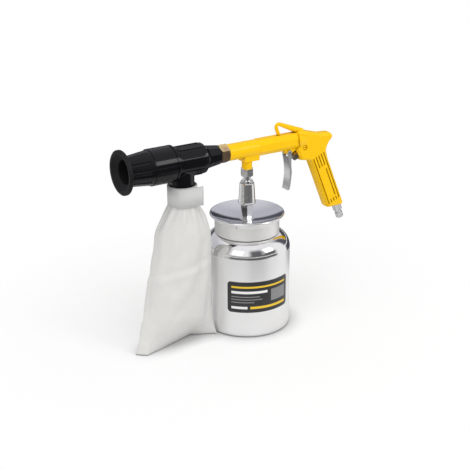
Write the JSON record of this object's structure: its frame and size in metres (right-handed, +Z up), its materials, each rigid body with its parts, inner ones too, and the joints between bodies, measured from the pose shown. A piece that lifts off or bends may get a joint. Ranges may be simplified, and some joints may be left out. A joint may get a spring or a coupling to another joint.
{
  "type": "spot sand blasting gun",
  "caption": "Pistol-grip suction blasting gun standing on a metal media pot, with a quick coupler, a rubber-mouthed recovery head and a cloth recovery bag.",
  "frame": {"origin": "centre of the pot's foot, on the floor", "axes": "+Z up, muzzle towards -X, handle towards +X"},
  "size_m": [0.3062, 0.102, 0.2418],
  "materials": {
    "pot_aluminium": "satin",
    "lid_aluminium": "polished",
    "chrome": "polished",
    "steel": "satin",
    "yellow_paint": "gloss",
    "yellow_zinc": "satin",
    "brass": "satin",
    "black_plastic": "satin",
    "black_rubber": "matte",
    "strap_fabric": "matte",
    "bag_fabric": "matte"
  },
  "bodies": {
    "pot": {"pot_body": "pot_aluminium"},
    "gasket": {"lid_gasket": "black_rubber"},
    "lid": {"lid": "lid_aluminium", "coupler_body": "chrome", "coupler_lock_nut": "steel", "pickup_tube": "lid_aluminium", "coupler_seal": "black_rubber", "lock_balls": "steel", "sleeve_spring": "steel", "sleeve_clip": "steel"},
    "sleeve": {"coupler_sleeve": "chrome"},
    "gun": {"suction_plug": "chrome", "blast_tee": "yellow_paint", "air_jet": "brass", "blast_nozzle": "steel", "nozzle_nut": "yellow_zinc", "gun_body": "yellow_paint", "trigger_pin": "steel", "valve_cap": "yellow_zinc", "valve_seal": "black_rubber", "valve_spring": "steel", "side_screw": "yellow_paint", "inlet_nipple": "steel", "head_housing": "black_plastic", "head_bush": "black_rubber", "head_sleeve": "black_plastic", "mouth_flange": "black_rubber", "bag_strap": "strap_fabric", "recovery_bag": "bag_fabric"},
    "trigger": {"trigger": "chrome"},
    "stem": {"valve_stem": "steel"}
  },
  "joints": [
    {"name": "lid_lift", "type": "slide", "parent": "pot", "child": "gasket", "axis": [0, 0, 1], "range_m": [0, 0.0045]},
    {"name": "lid_turn", "type": "hinge", "parent": "gasket", "child": "lid", "pos_m": [0, 0, 0.13], "axis": [0, 0, 1], "range_deg": [0, 540]},
    {"name": "sleeve_pull", "type": "slide", "parent": "lid", "child": "sleeve", "axis": [0, 0, -1], "range_m": [0, 0.0035], "stiffness_N_per_m": 1200, "springref_m": -0.003, "deforming": ["sleeve_spring"]},
    {"name": "gun_swivel", "type": "hinge", "parent": "lid", "child": "gun", "pos_m": [0, 0, 0.18], "axis": [0, 0, 1], "continuous": true},
    {"name": "trigger_pull", "type": "hinge", "parent": "gun", "child": "trigger", "pos_m": [0.0565, 0, 0.2039], "axis": [0, -1, 0], "range_deg": [0, 14], "stiffness_Nm_per_rad": 0.6, "springref_deg": -20.05},
    {"name": "valve_push", "type": "slide", "parent": "gun", "child": "stem", "axis": [0.9063, 0, 0.4226], "range_m": [0, 0.00242], "deforming": ["valve_spring"]}
  ],
  "couplings": [
    {"joint": "lid_turn", "follows": "lid_lift", "rad_per_m": 2094.4},
    {"joint": "trigger_pull", "follows": "valve_push", "rad_per_m": 101}
  ]
}
